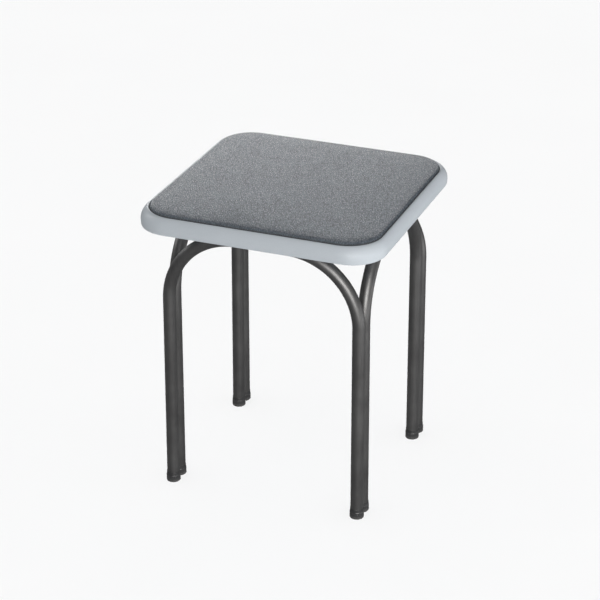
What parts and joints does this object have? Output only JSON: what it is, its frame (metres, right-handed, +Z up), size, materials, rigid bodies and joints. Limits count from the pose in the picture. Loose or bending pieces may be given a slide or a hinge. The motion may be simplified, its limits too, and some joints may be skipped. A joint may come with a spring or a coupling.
{
  "type": "shower stool",
  "caption": "Backless shower stool with a square padded vinyl seat in a moulded plastic rim, on bent-tube arches that form paired legs with push-on foot caps.",
  "frame": {"origin": "on the floor, under the middle of the seat", "axes": "+Z up, +Y to the back, +X to the right as seen from the front; the front and back arches lie across X, the left and right arches along Y"},
  "size_m": [0.35, 0.35, 0.433],
  "materials": {
    "rim_plastic": "satin",
    "vinyl": "satin",
    "foam": "matte",
    "board_plastic": "matte",
    "tube_paint": "satin",
    "cap_plastic": "satin",
    "fastener": "satin"
  },
  "bodies": {
    "root": {"seat_base": "rim_plastic", "seat_board": "board_plastic", "seat_foam": "foam", "seat_cover": "vinyl", "front_arch": "tube_paint", "back_arch": "tube_paint", "left_arch": "tube_paint", "right_arch": "tube_paint", "foot_cap_front_left_outer": "cap_plastic", "foot_cap_front_left_inner": "cap_plastic", "foot_cap_front_right_outer": "cap_plastic", "foot_cap_front_right_inner": "cap_plastic", "foot_cap_back_left_outer": "cap_plastic", "foot_cap_back_left_inner": "cap_plastic", "foot_cap_back_right_outer": "cap_plastic", "foot_cap_back_right_inner": "cap_plastic", "frame_screw_front_left": "fastener", "frame_screw_front_right": "fastener", "frame_screw_back_left": "fastener", "frame_screw_back_right": "fastener", "frame_screw_left": "fastener", "frame_screw_right": "fastener", "pad_screw_front_left": "fastener", "pad_screw_front_right": "fastener", "pad_screw_back_left": "fastener", "pad_screw_back_right": "fastener", "weld_front_left": "tube_paint", "weld_front_right": "tube_paint", "weld_back_left": "tube_paint", "weld_back_right": "tube_paint"}
  },
  "joints": []
}
